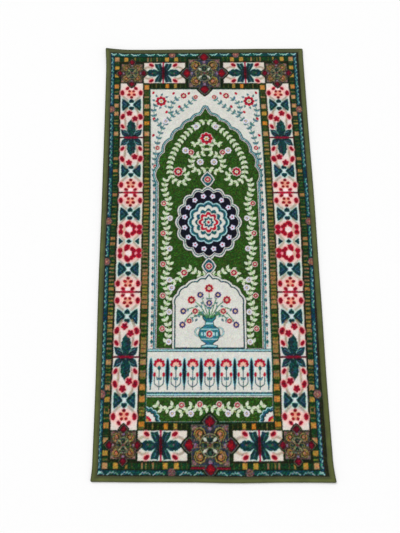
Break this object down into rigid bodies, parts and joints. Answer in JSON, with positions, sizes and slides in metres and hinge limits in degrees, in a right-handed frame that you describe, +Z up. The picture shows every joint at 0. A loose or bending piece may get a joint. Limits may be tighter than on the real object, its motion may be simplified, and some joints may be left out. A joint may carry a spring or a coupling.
{
  "type": "prayer rug",
  "caption": "Rectangular short-pile prayer rug lying flat, with a woven tape folded and sewn round its whole edge and one corner slightly curled up.",
  "frame": {"origin": "centre of the rug's box at the surface it lies on", "axes": "+X across the rug to the right, +Y along the rug towards its head end, +Z up out of the pile"},
  "size_m": [0.6078, 1.234, 0.0116],
  "materials": {
    "pile_carpet": "short dense cut pile in green, teal, cream, gold and red",
    "binding_tape": "olive woven tape, matt"
  },
  "bodies": {
    "root": {"rug_body": "pile_carpet", "edge_binding": "binding_tape"}
  },
  "joints": []
}
